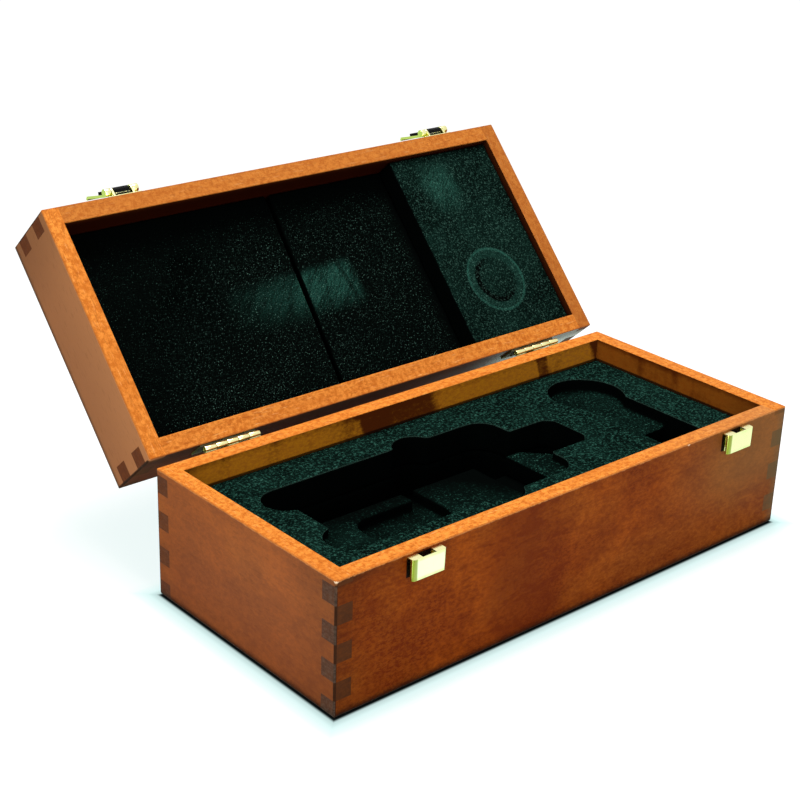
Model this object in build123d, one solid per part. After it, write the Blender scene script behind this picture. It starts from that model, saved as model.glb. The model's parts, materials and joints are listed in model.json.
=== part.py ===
"""Wooden case for a microphone: box-jointed carcass sawn into base and lid, cut foam, hinges and latches.

Millimetres, +Z up. The origin is the centre of the base's underside. +X runs along the front to the right,
and +Y towards the hinges. The lid is drawn shut and then swung open about the hinge pins.
"""
import os
from math import cos, radians, sin

from build123d import *

os.makedirs("parts", exist_ok=True)

# Carcass
LENGTH = 400.0
DEPTH = 179.0
BASE_HEIGHT = 90.5
LID_HEIGHT = 54.8
WALL = 12.2
FINGER = 12.4
SAW_KERF = 2.2
RIM_GAP = 0.4
FACE_EDGE_RADIUS = 3.5
UPRIGHT_EDGE_CHAMFER = 0.8
RIM_EDGE_CHAMFER = 0.4
PANEL_THICKNESS = 5.0
PANEL_LAP = 6.0
LID_OPEN_ANGLE = 132.5

# Foam in the base: depths are measured down from its top face
FOAM_CLEARANCE = 0.3
FOAM_BELOW_RIM = 16.2
TOP_LAYER = 22.0
SHELF_DEPTH = 7.5
SLOT_DEPTH = 16.5
BODY_DEPTH = 46.0
DISC_DEPTH = 11.0

# Main cut-out: places are measured from the case's centre
BODY_LEFT = -144.0
BODY_RIGHT = 42.0
BODY_FRONT = -43.5
BODY_BACK = 48.5
BODY_CORNER = 16.0
LOBE_RADIUS = 15.0
LOBE_REACH = 13.0
BUMP_X = -25.0
BUMP_RADIUS = 16.5
BUMP_REACH = 10.5
NECK_RIGHT = 80.0
NECK_FRONT = -18.5
NECK_BACK = 22.5
NECK_CORNER = 6.0
DEEP_FRONT = 6.5
DEEP_NECK_BEND = 36.0
DEEP_NECK_FRONT = -10.0
SLOT_LEFT = -121.5
SLOT_RIGHT = -60.0
SLOT_FRONT = -39.0
SLOT_BACK = -5.5
SLOT_CORNER = 13.0
SLOT_MOUTH = 9.0
BAY_LEFT = -6.0
BAY_FRONT = -40.0
REST_LEFT = 24.0

# Keyhole cut-out for the clip and its stem
DISC_X = 133.0
DISC_Y = 35.5
DISC_RADIUS = 28.0
STEM_WIDTH = 40.0
STEM_FRONT = -64.5
STEM_PIT_BACK = -22.5

# Foam in the lid: depths are measured from the lid's rim
LID_PAD_DEPTH = 20.0
LID_BLOCK_DEPTH = 5.0
LID_BACKING_DEPTH = 35.0
LID_SEAM_X = -21.5
LID_SEAM_WIDTH = 3.4
LID_BLOCK_LEFT = 90.5
LID_BLOCK_GAP = 0.6

# Stop hinges on the back
HINGE_INSETS = (60.5, 62.0)
HINGE_LENGTH = 43.0
HINGE_KNUCKLES = 5
KNUCKLE_GAP = 0.3
PIN_BEHIND_BACK = 4.0
BARREL_RADIUS = 2.0
HINGE_PIN_RADIUS = 0.9
RUNNING_CLEARANCE = 0.05
LEAF_THICKNESS = 1.2
LEAF_HEIGHT = 17.0
LEAF_EDGE_GAP = 2.6
LEAF_BEND_DROP = 4.4
LEAF_WEB_ANGLE = 30.0
LUG_WIDTH = 12.0
LUG_NEAR = 3.2
LUG_FAR = 8.2
LUG_CLEARANCE = 0.15
LUG_FOOT_TOP = 3.9
LUG_FOOT_BOTTOM = 10.5
SCREW_SPREAD = 14.0
SCREW_DROP = 11.5
SCREW_SHANK = 2.2
SCREW_LENGTH = 9.0
SCREW_HEAD_RADIUS = 2.3
SCREW_HEAD = 1.1
SCREW_SLOT = 0.6

# Latches on the front
LATCH_INSETS = (64.2, 55.6)
LATCH_WIDTH = 25.6
LATCH_SHEET = 0.8
KEEPER_PROUD = 6.0
KEEPER_BELOW_RIM = 1.8
KEEPER_HEIGHT = 13.8
KEEPER_NOTCH_WIDTH = 10.5
KEEPER_NOTCH_REACH = 5.4
KEEPER_NOTCH_DROP = 4.0
KEEPER_RETURN = 2.6
KEEPER_BEND = 2.0
KEEPER_BACK_INSET = 2.6
LATCH_PIN_UP = 5.2
LATCH_PIN_OUT = 5.4
LATCH_BARREL_RADIUS = 2.8
LATCH_PIN_RADIUS = 1.0
FLAP_LENGTH = 24.0
FLAP_OPEN_ANGLE = 154.0
FLAP_KNUCKLE = 4.3
FLAP_KNUCKLE_REACH = 3.4
FLAP_LIP_RADIUS = 0.9
EAR_THICKNESS = 1.5
EAR_GAP = 0.2
EAR_FOOT = 3.5
PLATE_BOTTOM = 1.0
PLATE_TOP = 17.0
CATCH_WIDTH = 9.0
CATCH_LENGTH = 11.0
CATCH_SHEET = 0.7
CATCH_GAP = 0.4
CATCH_HOLD = 1.2
NAIL_SPREAD = 8.0
NAIL_SHANK = 1.2
NAIL_LENGTH = 8.0
NAIL_HEAD_RADIUS = 1.4
NAIL_HEAD = 0.5
KEEPER_NAIL_UP = 4.5
PLATE_NAIL_UP = 13.4

# Worked out from the sizes above
LID_RIM = BASE_HEIGHT + RIM_GAP
LID_TOP = LID_RIM + LID_HEIGHT
HALF_LENGTH = LENGTH / 2
HALF_DEPTH = DEPTH / 2
PIN_Y = HALF_DEPTH + PIN_BEHIND_BACK
PIN_Z = BASE_HEIGHT + RIM_GAP / 2
FOAM_TOP = BASE_HEIGHT - FOAM_BELOW_RIM
KEEPER_TOP = BASE_HEIGHT - KEEPER_BELOW_RIM
KEEPER_BOTTOM = KEEPER_TOP - KEEPER_HEIGHT
HINGE_CENTRES = (HINGE_INSETS[0] - HALF_LENGTH, HALF_LENGTH - HINGE_INSETS[1])
LATCH_CENTRES = (LATCH_INSETS[0] - HALF_LENGTH, HALF_LENGTH - LATCH_INSETS[1])
CUT_OVER = 1.0
SAME_PLACE = 0.05

nodes = {}


def span_box(x0, x1, y0, y1, z0, z1):
    """Box between two corners."""
    centre = Pos((x0 + x1) / 2, (y0 + y1) / 2, (z0 + z1) / 2)
    return centre * Box(x1 - x0, y1 - y0, z1 - z0)


def prism_x(points, x0, x1):
    """Outline of (y, z) points, drawn out along X."""
    outline = Plane.YZ.offset(x0) * Polygon(*points, align=None)
    return extrude(outline, amount=x1 - x0, dir=(1, 0, 0))


def rod_x(radius, x0, x1, y, z):
    """Round rod along X."""
    return Pos((x0 + x1) / 2, y, z) * Rot(0, 90, 0) * Cylinder(radius, x1 - x0)


def open_lid(shape):
    """Swing a piece of the shut lid to where it rests, open."""
    return shape.rotate(Axis((0, PIN_Y, PIN_Z), (1, 0, 0)), -LID_OPEN_ANGLE)


def group(solids):
    """Several separate solids that make one node."""
    return Compound(children=list(solids))


# Carcass

def edged_band(width, z0, z1, rim_z):
    """Upright rectangle from z0 to z1: its corners at the rim are eased, and the other two well rounded."""
    band = Pos(0, (z0 + z1) / 2) * Rectangle(width, z1 - z0)
    rim_group, face_group = (0, -1) if rim_z == z0 else (-1, 0)
    band = fillet(band.vertices().group_by(Axis.Y)[face_group], FACE_EDGE_RADIUS)
    return chamfer(band.vertices().group_by(Axis.Y)[rim_group], RIM_EDGE_CHAMFER)


def carcass_ring(z0, z1, rim_z):
    """Four walls with eased outer edges, open at both ends."""
    along = extrude(Plane.XZ * edged_band(LENGTH, z0, z1, rim_z), amount=HALF_DEPTH, both=True)
    across = extrude(Plane.YZ * edged_band(DEPTH, z0, z1, rim_z), amount=HALF_LENGTH, both=True)
    corners = Rectangle(LENGTH, DEPTH)
    plan = extrude(Pos(0, 0, z0) * chamfer(corners.vertices(), UPRIGHT_EDGE_CHAMFER), amount=z1 - z0)
    inside_x = HALF_LENGTH - WALL
    inside_y = HALF_DEPTH - WALL
    hollow = span_box(-inside_x, inside_x, -inside_y, inside_y, z0 - CUT_OVER, z1 + CUT_OVER)
    ring = (along & across & plan) - hollow
    inner_rim = [
        edge for edge in ring.edges()
        if abs(edge.center().Z - rim_z) < SAME_PLACE
        and abs(edge.center().X) < inside_x + SAME_PLACE
        and abs(edge.center().Y) < inside_y + SAME_PLACE
    ]
    return chamfer(inner_rim, RIM_EDGE_CHAMFER)


def fingers(z0, z1, shift, owner):
    """Corner blocks of every second finger. owner is 0 for the long boards' fingers and 1 for the ends'."""
    blocks = []
    count = int((z1 + shift) / FINGER) + 1
    for step in range(count):
        low = max(z0 - CUT_OVER, step * FINGER - shift)
        high = min(z1 + CUT_OVER, (step + 1) * FINGER - shift)
        if step % 2 != owner or high <= z0 or low >= z1:
            continue
        for side_x in (-1, 1):
            for side_y in (-1, 1):
                inner_x = side_x * (HALF_LENGTH - WALL)
                outer_x = side_x * (HALF_LENGTH + CUT_OVER)
                inner_y = side_y * (HALF_DEPTH - WALL)
                outer_y = side_y * (HALF_DEPTH + CUT_OVER)
                xs = sorted((inner_x, outer_x))
                ys = sorted((inner_y, outer_y))
                blocks.append(span_box(*xs, *ys, low, high))
    return blocks


def carcass_boards(part, z0, z1, shift, rim_z, panel_z):
    """The four boards and the panel of the base or of the lid."""
    ring = carcass_ring(z0, z1, rim_z)
    panel_x = HALF_LENGTH - WALL + PANEL_LAP
    panel_y = HALF_DEPTH - WALL + PANEL_LAP
    panel = span_box(-panel_x, panel_x, -panel_y, panel_y, *panel_z)
    ring -= panel
    long_fingers = fingers(z0, z1, shift, 0)
    end_fingers = fingers(z0, z1, shift, 1)
    inside_x = HALF_LENGTH - WALL
    inside_y = HALF_DEPTH - WALL
    reach_x = HALF_LENGTH + CUT_OVER
    reach_y = HALF_DEPTH + CUT_OVER
    boards = {}
    for name, side in (("front_board", -1), ("back_board", 1)):
        ys = sorted((side * inside_y, side * reach_y))
        slab = span_box(-reach_x, reach_x, *ys, z0 - CUT_OVER, z1 + CUT_OVER)
        boards[f"{part}_{name}"] = (ring & slab) - end_fingers
    for name, side in (("left_end", -1), ("right_end", 1)):
        xs = sorted((side * inside_x, side * reach_x))
        slab = span_box(*xs, -reach_y, reach_y, z0 - CUT_OVER, z1 + CUT_OVER)
        boards[f"{part}_{name}"] = (ring & slab) - long_fingers
    return boards, panel


# Foam

def foam_slab(z0, z1, x0=None, x1=None):
    """Slab of foam that fills the carcass in plan, or from x0 to x1."""
    inside_x = HALF_LENGTH - WALL - FOAM_CLEARANCE
    inside_y = HALF_DEPTH - WALL - FOAM_CLEARANCE
    left = -inside_x if x0 is None else x0
    right = inside_x if x1 is None else x1
    return span_box(left, right, -inside_y, inside_y, z0, z1)


def plan_rectangle(x0, x1, y0, y1, corner=0.0):
    """Rectangle in plan with rounded corners."""
    centre = Pos((x0 + x1) / 2, (y0 + y1) / 2)
    if corner > 0:
        return centre * RectangleRounded(x1 - x0, y1 - y0, corner)
    return centre * Rectangle(x1 - x0, y1 - y0)


def lobe(side_y):
    """Round-ended lobe at the left of the main cut-out."""
    x = BODY_LEFT - LOBE_REACH + LOBE_RADIUS
    bridge = plan_rectangle(x, x + BODY_CORNER, side_y - LOBE_RADIUS, side_y + LOBE_RADIUS)
    return Pos(x, side_y) * Circle(LOBE_RADIUS) + bridge


def back_features():
    """The lobe and the finger bump at the back of the main cut-out."""
    bump_y = BODY_BACK + BUMP_REACH - BUMP_RADIUS
    return lobe(BODY_BACK - LOBE_RADIUS) + Pos(BUMP_X, bump_y) * Circle(BUMP_RADIUS)


def front_features():
    """The lobe and the finger bump at the front of the main cut-out."""
    bump_y = BODY_FRONT - BUMP_REACH + BUMP_RADIUS
    return lobe(BODY_FRONT + LOBE_RADIUS) + Pos(BUMP_X, bump_y) * Circle(BUMP_RADIUS)


def square_left(front, back):
    """Square left edge between the lobes."""
    return plan_rectangle(BODY_LEFT, BODY_LEFT + BODY_CORNER, front, back)


def body_outline():
    """Whole outline of the main cut-out: body, two lobes, two bumps and the neck."""
    body = plan_rectangle(BODY_LEFT, BODY_RIGHT, BODY_FRONT, BODY_BACK, BODY_CORNER)
    body += square_left(BODY_FRONT + LOBE_RADIUS, BODY_BACK - LOBE_RADIUS)
    start = BODY_RIGHT - BODY_CORNER
    cut_x = NECK_RIGHT - NECK_CORNER
    neck = Polygon(
        (start, NECK_FRONT), (cut_x, NECK_FRONT), (NECK_RIGHT, NECK_FRONT + NECK_CORNER),
        (NECK_RIGHT, NECK_BACK - NECK_CORNER), (cut_x, NECK_BACK), (start, NECK_BACK), align=None)
    return body + back_features() + front_features() + neck


def deep_outline():
    """The deepest part of the main cut-out: the body's back half, and a neck that widens to the right."""
    body = plan_rectangle(BODY_LEFT, BODY_RIGHT, DEEP_FRONT - BODY_CORNER, BODY_BACK, BODY_CORNER)
    body += square_left(DEEP_FRONT, BODY_BACK - LOBE_RADIUS)
    body -= plan_rectangle(BODY_LEFT, BODY_RIGHT, BODY_FRONT, DEEP_FRONT)
    wide = DEEP_NECK_BEND + DEEP_FRONT - DEEP_NECK_FRONT
    start = BODY_RIGHT - BODY_CORNER
    cut_x = NECK_RIGHT - NECK_CORNER
    neck = Polygon(
        (start, DEEP_FRONT), (DEEP_NECK_BEND, DEEP_FRONT), (wide, DEEP_NECK_FRONT),
        (NECK_RIGHT, DEEP_NECK_FRONT), (NECK_RIGHT, NECK_BACK - NECK_CORNER), (cut_x, NECK_BACK),
        (start, NECK_BACK), align=None)
    return body + back_features() + neck


def slot_outline():
    """Round-ended slot in front of the body, with a mouth into the deep part at its right end."""
    slot = plan_rectangle(SLOT_LEFT, SLOT_RIGHT, SLOT_FRONT, SLOT_BACK, SLOT_CORNER)
    return slot + plan_rectangle(SLOT_RIGHT - SLOT_MOUTH, SLOT_RIGHT, SLOT_BACK - SLOT_CORNER, DEEP_FRONT)


def bay_outline():
    """Bay of the deep part, left of the resting shelf."""
    return plan_rectangle(BAY_LEFT, REST_LEFT, BAY_FRONT, DEEP_FRONT)


def keyhole_outline():
    """Round recess with a straight stem towards the front."""
    half_stem = STEM_WIDTH / 2
    stem = plan_rectangle(DISC_X - half_stem, DISC_X + half_stem, STEM_FRONT, DISC_Y)
    return Pos(DISC_X, DISC_Y) * Circle(DISC_RADIUS) + stem


def pit_outline():
    """Deeper front end of the keyhole's stem."""
    half_stem = STEM_WIDTH / 2
    return plan_rectangle(DISC_X - half_stem, DISC_X + half_stem, STEM_FRONT, STEM_PIT_BACK)


def sink(outline, depth, surface):
    """Cutter from above the surface down to the given depth."""
    return extrude(Pos(0, 0, surface - depth) * outline, amount=depth + CUT_OVER)


def base_foam():
    """Three layers: a plain floor, a middle cut right through, and a top with every cut-out."""
    middle_top = FOAM_TOP - TOP_LAYER
    floor_top = FOAM_TOP - BODY_DEPTH
    top = foam_slab(middle_top, FOAM_TOP)
    top -= sink(body_outline(), SHELF_DEPTH, FOAM_TOP)
    top -= sink(slot_outline(), SLOT_DEPTH, FOAM_TOP)
    top -= sink(deep_outline() + bay_outline(), TOP_LAYER + CUT_OVER, FOAM_TOP)
    top -= sink(keyhole_outline(), DISC_DEPTH, FOAM_TOP)
    top -= sink(pit_outline(), TOP_LAYER + CUT_OVER, FOAM_TOP)
    middle = foam_slab(floor_top, middle_top)
    middle -= sink(deep_outline(), BODY_DEPTH + CUT_OVER, FOAM_TOP)
    nodes["base_foam_top"] = top
    nodes["base_foam_middle"] = middle
    nodes["base_foam_floor"] = foam_slab(PANEL_THICKNESS, floor_top)


def lid_foam():
    """A full backing layer, two thin pads with a slit between them, and a thicker block at the right."""
    backing = LID_RIM + LID_BACKING_DEPTH
    pad = LID_RIM + LID_PAD_DEPTH
    seam_left = LID_SEAM_X - LID_SEAM_WIDTH / 2
    seam_right = LID_SEAM_X + LID_SEAM_WIDTH / 2
    layers = {
        "lid_foam_backing": foam_slab(backing, LID_TOP - PANEL_THICKNESS),
        "lid_foam_left_pad": foam_slab(pad, backing, x1=seam_left),
        "lid_foam_middle_pad": foam_slab(pad, backing, x0=seam_right, x1=LID_BLOCK_LEFT - LID_BLOCK_GAP),
        "lid_foam_right_block": foam_slab(LID_RIM + LID_BLOCK_DEPTH, backing, x0=LID_BLOCK_LEFT),
    }
    for name, layer in layers.items():
        nodes[name] = open_lid(layer)


# Fasteners

def spike(x, y, z, inward, width, length):
    """Square shank along Y from (x, y, z) into the wood. inward is 1 in the front and -1 in the back."""
    ys = sorted((y, y + inward * length))
    return span_box(x - width / 2, x + width / 2, *ys, z - width / 2, z + width / 2)


def head_disc(x, y, z, inward, radius, thickness):
    """Round head that stands on the sheet at y."""
    return Pos(x, y - inward * thickness / 2, z) * Rot(90, 0, 0) * Cylinder(radius, thickness)


# Hinges

def hinge_screw(x, z):
    """Round-headed slotted screw through a leaf into the back. Its hidden shank is drawn plain and square."""
    outer = HALF_DEPTH + LEAF_THICKNESS
    head = head_disc(x, outer, z, -1, SCREW_HEAD_RADIUS, SCREW_HEAD)
    top = outer + SCREW_HEAD
    radius = SCREW_HEAD_RADIUS
    half_slot = SCREW_SLOT / 2
    head -= span_box(x - radius, x + radius, top - SCREW_SLOT, top, z - half_slot, z + half_slot)
    return head + spike(x, outer, z, -1, SCREW_SHANK, SCREW_LENGTH)


def hinge_screw_hole(x, z):
    """Hole for a hinge screw."""
    outer = HALF_DEPTH + LEAF_THICKNESS + RUNNING_CLEARANCE
    return spike(x, outer, z, -1, SCREW_SHANK + 2 * RUNNING_CLEARANCE, SCREW_LENGTH + 2 * RUNNING_CLEARANCE)


def leaf_knuckles(centre, first):
    """X spans of one leaf's knuckles: every second one, from the first."""
    pitch = HINGE_LENGTH / HINGE_KNUCKLES
    start = centre - HINGE_LENGTH / 2
    spans = []
    for step in range(first, HINGE_KNUCKLES, 2):
        low = start + step * pitch + (KNUCKLE_GAP / 2 if step > 0 else 0)
        high = start + (step + 1) * pitch - (KNUCKLE_GAP / 2 if step < HINGE_KNUCKLES - 1 else 0)
        spans.append((low, high))
    return spans


def hinge_leaf(centre, first):
    """Leaf below the pin: plate, knuckles, stop lug and screw holes. The lid's leaf is its mirror image."""
    x0 = centre - HINGE_LENGTH / 2
    x1 = centre + HINGE_LENGTH / 2
    face = HALF_DEPTH
    back = HALF_DEPTH + LEAF_THICKNESS
    reach_in = BARREL_RADIUS * sin(radians(LEAF_WEB_ANGLE))
    reach_out = BARREL_RADIUS * cos(radians(LEAF_WEB_ANGLE))
    leaf = span_box(x0, x1, face, back, PIN_Z - LEAF_HEIGHT, PIN_Z - LEAF_EDGE_GAP)
    for low, high in leaf_knuckles(centre, first):
        web = prism_x(
            [(face, PIN_Z - LEAF_EDGE_GAP), (face, PIN_Z - LEAF_BEND_DROP), (back, PIN_Z - LEAF_BEND_DROP),
             (PIN_Y - reach_in, PIN_Z - reach_out), (PIN_Y, PIN_Z), (PIN_Y - reach_out, PIN_Z - reach_in)],
            low, high)
        leaf += web + rod_x(BARREL_RADIUS, low, high, PIN_Y, PIN_Z)
    half_wedge = radians(180 - LID_OPEN_ANGLE) / 2
    along = (sin(half_wedge), -cos(half_wedge))
    inward = (-cos(half_wedge) * LUG_CLEARANCE, -sin(half_wedge) * LUG_CLEARANCE)
    near = (PIN_Y + along[0] * LUG_NEAR + inward[0], PIN_Z + along[1] * LUG_NEAR + inward[1])
    far = (PIN_Y + along[0] * LUG_FAR + inward[0], PIN_Z + along[1] * LUG_FAR + inward[1])
    lug = [near, far, (back, PIN_Z - LUG_FOOT_BOTTOM), (back, PIN_Z - LUG_FOOT_TOP)]
    leaf += prism_x(lug, centre - LUG_WIDTH / 2, centre + LUG_WIDTH / 2)
    leaf -= rod_x(HINGE_PIN_RADIUS + RUNNING_CLEARANCE, x0 - CUT_OVER, x1 + CUT_OVER, PIN_Y, PIN_Z)
    for side in (-1, 1):
        leaf -= hinge_screw_hole(centre + side * SCREW_SPREAD, PIN_Z - SCREW_DROP)
    return leaf


def flip(shape):
    """Mirror image above the hinge pin's level, for the lid's side of a hinge."""
    return shape.mirror(Plane.XY.offset(PIN_Z))


def hinges():
    """Both hinges with their pins and screws."""
    base_screws = []
    lid_screws = []
    for name, centre in zip(("left", "right"), HINGE_CENTRES):
        nodes[f"hinge_{name}_base_leaf"] = hinge_leaf(centre, 0)
        nodes[f"hinge_{name}_lid_leaf"] = open_lid(flip(hinge_leaf(centre, 1)))
        half = HINGE_LENGTH / 2
        nodes[f"hinge_{name}_pin"] = rod_x(HINGE_PIN_RADIUS, centre - half, centre + half, PIN_Y, PIN_Z)
        for side in (-1, 1):
            screw = hinge_screw(centre + side * SCREW_SPREAD, PIN_Z - SCREW_DROP)
            base_screws.append(screw)
            lid_screws.append(open_lid(flip(screw)))
    nodes["hinge_base_screws"] = group(base_screws)
    nodes["hinge_lid_screws"] = group(lid_screws)


def hinge_screw_holes():
    """Pilot holes in the back boards, as drawn below the pin."""
    return [
        hinge_screw_hole(centre + side * SCREW_SPREAD, PIN_Z - SCREW_DROP)
        for centre in HINGE_CENTRES for side in (-1, 1)]


# Latches

def nail(x, z):
    """Square-shanked nail through a latch's sheet into the front. Its round head stands on the sheet."""
    sheet = -HALF_DEPTH - LATCH_SHEET
    head = head_disc(x, sheet, z, 1, NAIL_HEAD_RADIUS, NAIL_HEAD)
    return head + spike(x, sheet, z, 1, NAIL_SHANK, NAIL_LENGTH)


def nail_hole(x, z):
    """Hole for a latch nail."""
    sheet = -HALF_DEPTH - LATCH_SHEET - RUNNING_CLEARANCE
    return spike(x, sheet, z, 1, NAIL_SHANK + 2 * RUNNING_CLEARANCE, NAIL_LENGTH + 2 * RUNNING_CLEARANCE)


def keeper_nail_places(centre):
    """Two nails in a keeper's back plate."""
    return [(centre + side * NAIL_SPREAD, KEEPER_BOTTOM + KEEPER_NAIL_UP) for side in (-1, 1)]


def plate_nail_places(centre):
    """Two nails in a latch plate on the lid, above the pin."""
    return [(centre + side * NAIL_SPREAD, LID_RIM + PLATE_NAIL_UP) for side in (-1, 1)]


def keeper(centre):
    """Folded sheet: back plate, notched top, and a front with short rounded returns. Its sides are open."""
    x0 = centre - LATCH_WIDTH / 2
    x1 = centre + LATCH_WIDTH / 2
    front = -HALF_DEPTH - KEEPER_PROUD
    shell = span_box(x0, x1, front, -HALF_DEPTH, KEEPER_BOTTOM, KEEPER_TOP)
    bends = [edge for edge in shell.edges().filter_by(Axis.Z) if edge.center().Y < front + LATCH_SHEET]
    shell = fillet(bends, KEEPER_BEND)
    inner = span_box(
        x0 + LATCH_SHEET, x1 - LATCH_SHEET, front + LATCH_SHEET, -HALF_DEPTH, KEEPER_BOTTOM - CUT_OVER,
        KEEPER_TOP - LATCH_SHEET)
    uprights = inner.edges().filter_by(Axis.Z)
    inner_bends = [edge for edge in uprights if edge.center().Y < front + 2 * LATCH_SHEET]
    shell -= fillet(inner_bends, KEEPER_BEND - LATCH_SHEET)
    shell -= span_box(
        x0 - CUT_OVER, x1 + CUT_OVER, front + KEEPER_RETURN, -HALF_DEPTH + CUT_OVER, KEEPER_BOTTOM - CUT_OVER,
        KEEPER_TOP - LATCH_SHEET)
    shell += span_box(
        x0 + KEEPER_BACK_INSET, x1 - KEEPER_BACK_INSET, -HALF_DEPTH - LATCH_SHEET, -HALF_DEPTH, KEEPER_BOTTOM,
        KEEPER_TOP)
    half_notch = KEEPER_NOTCH_WIDTH / 2
    shell -= span_box(
        centre - half_notch, centre + half_notch, -HALF_DEPTH - KEEPER_NOTCH_REACH, -HALF_DEPTH + CUT_OVER,
        KEEPER_TOP - KEEPER_NOTCH_DROP, KEEPER_TOP + CUT_OVER)
    for x, z in keeper_nail_places(centre):
        shell -= nail_hole(x, z)
    return shell


def latch_axis():
    """Y and Z of the latch pins, with the lid shut."""
    return -HALF_DEPTH - LATCH_PIN_OUT, LID_RIM + LATCH_PIN_UP


def latch_plate(centre):
    """Plate on the lid's front with two ears that carry the pin."""
    pin_y, pin_z = latch_axis()
    x0 = centre - LATCH_WIDTH / 2
    x1 = centre + LATCH_WIDTH / 2
    face = -HALF_DEPTH
    plate = span_box(x0, x1, face - LATCH_SHEET, face, LID_RIM + PLATE_BOTTOM, LID_RIM + PLATE_TOP)
    ear_out = LATCH_WIDTH / 2 - FLAP_KNUCKLE - EAR_GAP
    for side in (-1, 1):
        low, high = sorted((centre + side * ear_out, centre + side * (ear_out - EAR_THICKNESS)))
        foot = prism_x(
            [(face - LATCH_SHEET / 2, pin_z - EAR_FOOT), (face - LATCH_SHEET / 2, pin_z + EAR_FOOT),
             (pin_y, pin_z + LATCH_BARREL_RADIUS), (pin_y, pin_z - LATCH_BARREL_RADIUS)], low, high)
        plate += foot + rod_x(LATCH_BARREL_RADIUS, low, high, pin_y, pin_z)
    plate -= rod_x(LATCH_PIN_RADIUS + RUNNING_CLEARANCE, x0, x1, pin_y, pin_z)
    for x, z in plate_nail_places(centre):
        plate -= nail_hole(x, z)
    return plate


def flap(centre):
    """Flap, drawn shut over the keeper: plate with side edges, two knuckles at its ends and a finger lip."""
    pin_y, pin_z = latch_axis()
    x0 = centre - LATCH_WIDTH / 2
    x1 = centre + LATCH_WIDTH / 2
    outer = pin_y - LATCH_BARREL_RADIUS
    inner = outer + LATCH_SHEET
    bottom = pin_z - FLAP_LENGTH
    shape = span_box(x0, x1, outer, inner, bottom, pin_z - FLAP_KNUCKLE_REACH)
    side_edge = -HALF_DEPTH - KEEPER_PROUD - CATCH_GAP
    half = LATCH_WIDTH / 2
    for side in (-1, 1):
        low, high = sorted((centre + side * half, centre + side * (half - FLAP_KNUCKLE)))
        shape += span_box(low, high, outer, inner, bottom, pin_z)
        shape += rod_x(LATCH_BARREL_RADIUS, low, high, pin_y, pin_z)
        low, high = sorted((centre + side * half, centre + side * (half - LATCH_SHEET)))
        shape += span_box(low, high, outer, side_edge, bottom, pin_z)
    shape += rod_x(FLAP_LIP_RADIUS, x0, x1, outer, bottom)
    shape -= rod_x(LATCH_PIN_RADIUS + RUNNING_CLEARANCE, x0 - CUT_OVER, x1 + CUT_OVER, pin_y, pin_z)
    return shape


def catch(centre):
    """Bent strip inside the flap. Its tooth hooks under the keeper's lower edge."""
    pin_y, pin_z = latch_axis()
    inner = pin_y - LATCH_BARREL_RADIUS + LATCH_SHEET
    tooth_top = KEEPER_BOTTOM - CATCH_GAP
    tooth_tip = -HALF_DEPTH - KEEPER_PROUD + CATCH_HOLD
    x0 = centre - CATCH_WIDTH / 2
    x1 = centre + CATCH_WIDTH / 2
    strip = span_box(x0, x1, inner, inner + CATCH_SHEET, tooth_top - CATCH_SHEET, tooth_top + CATCH_LENGTH)
    return strip + span_box(x0, x1, inner, tooth_tip, tooth_top - CATCH_SHEET, tooth_top)


def spring(centre):
    """Close-wound spring round the pin, between the ears, drawn as the sleeve that its turns make."""
    pin_y, pin_z = latch_axis()
    half = LATCH_WIDTH / 2 - FLAP_KNUCKLE - 2 * EAR_GAP - EAR_THICKNESS
    sleeve = rod_x(LATCH_BARREL_RADIUS, centre - half, centre + half, pin_y, pin_z)
    return sleeve - rod_x(LATCH_PIN_RADIUS + RUNNING_CLEARANCE, centre - half, centre + half, pin_y, pin_z)


def open_flap(shape):
    """Swing a flap piece up from the keeper to where it rests, clear of the lid's front."""
    pin_y, pin_z = latch_axis()
    return shape.rotate(Axis((0, pin_y, pin_z), (1, 0, 0)), -FLAP_OPEN_ANGLE)


def latches():
    """Both latches with their nails."""
    pin_y, pin_z = latch_axis()
    keeper_nails = []
    plate_nails = []
    for name, centre in zip(("left", "right"), LATCH_CENTRES):
        pin = rod_x(LATCH_PIN_RADIUS, centre - LATCH_WIDTH / 2, centre + LATCH_WIDTH / 2, pin_y, pin_z)
        nodes[f"latch_{name}_keeper"] = keeper(centre)
        nodes[f"latch_{name}_plate"] = open_lid(latch_plate(centre))
        nodes[f"latch_{name}_flap"] = open_lid(open_flap(flap(centre)))
        nodes[f"latch_{name}_catch"] = open_lid(open_flap(catch(centre)))
        nodes[f"latch_{name}_pin"] = open_lid(pin)
        nodes[f"latch_{name}_spring"] = open_lid(spring(centre))
        keeper_nails += [nail(x, z) for x, z in keeper_nail_places(centre)]
        plate_nails += [open_lid(nail(x, z)) for x, z in plate_nail_places(centre)]
    nodes["keeper_nails"] = group(keeper_nails)
    nodes["latch_plate_nails"] = group(plate_nails)


def base_carcass():
    """Base boards with their screw and nail holes, and the bottom panel."""
    boards, panel = carcass_boards(
        "base", 0, BASE_HEIGHT, 0, BASE_HEIGHT, (0, PANEL_THICKNESS))
    boards["base_back_board"] -= hinge_screw_holes()
    for centre in LATCH_CENTRES:
        for x, z in keeper_nail_places(centre):
            boards["base_front_board"] -= nail_hole(x, z)
    nodes.update(boards)
    nodes["base_bottom_panel"] = panel


def lid_carcass():
    """Lid boards with their screw and nail holes, and the top panel, swung open."""
    boards, panel = carcass_boards(
        "lid", LID_RIM, LID_TOP, SAW_KERF - RIM_GAP, LID_RIM, (LID_TOP - PANEL_THICKNESS, LID_TOP))
    boards["lid_back_board"] -= [flip(hole) for hole in hinge_screw_holes()]
    for centre in LATCH_CENTRES:
        for x, z in plate_nail_places(centre):
            boards["lid_front_board"] -= nail_hole(x, z)
    for name, board in boards.items():
        nodes[name] = open_lid(board)
    nodes["lid_top_panel"] = open_lid(panel)


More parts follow.
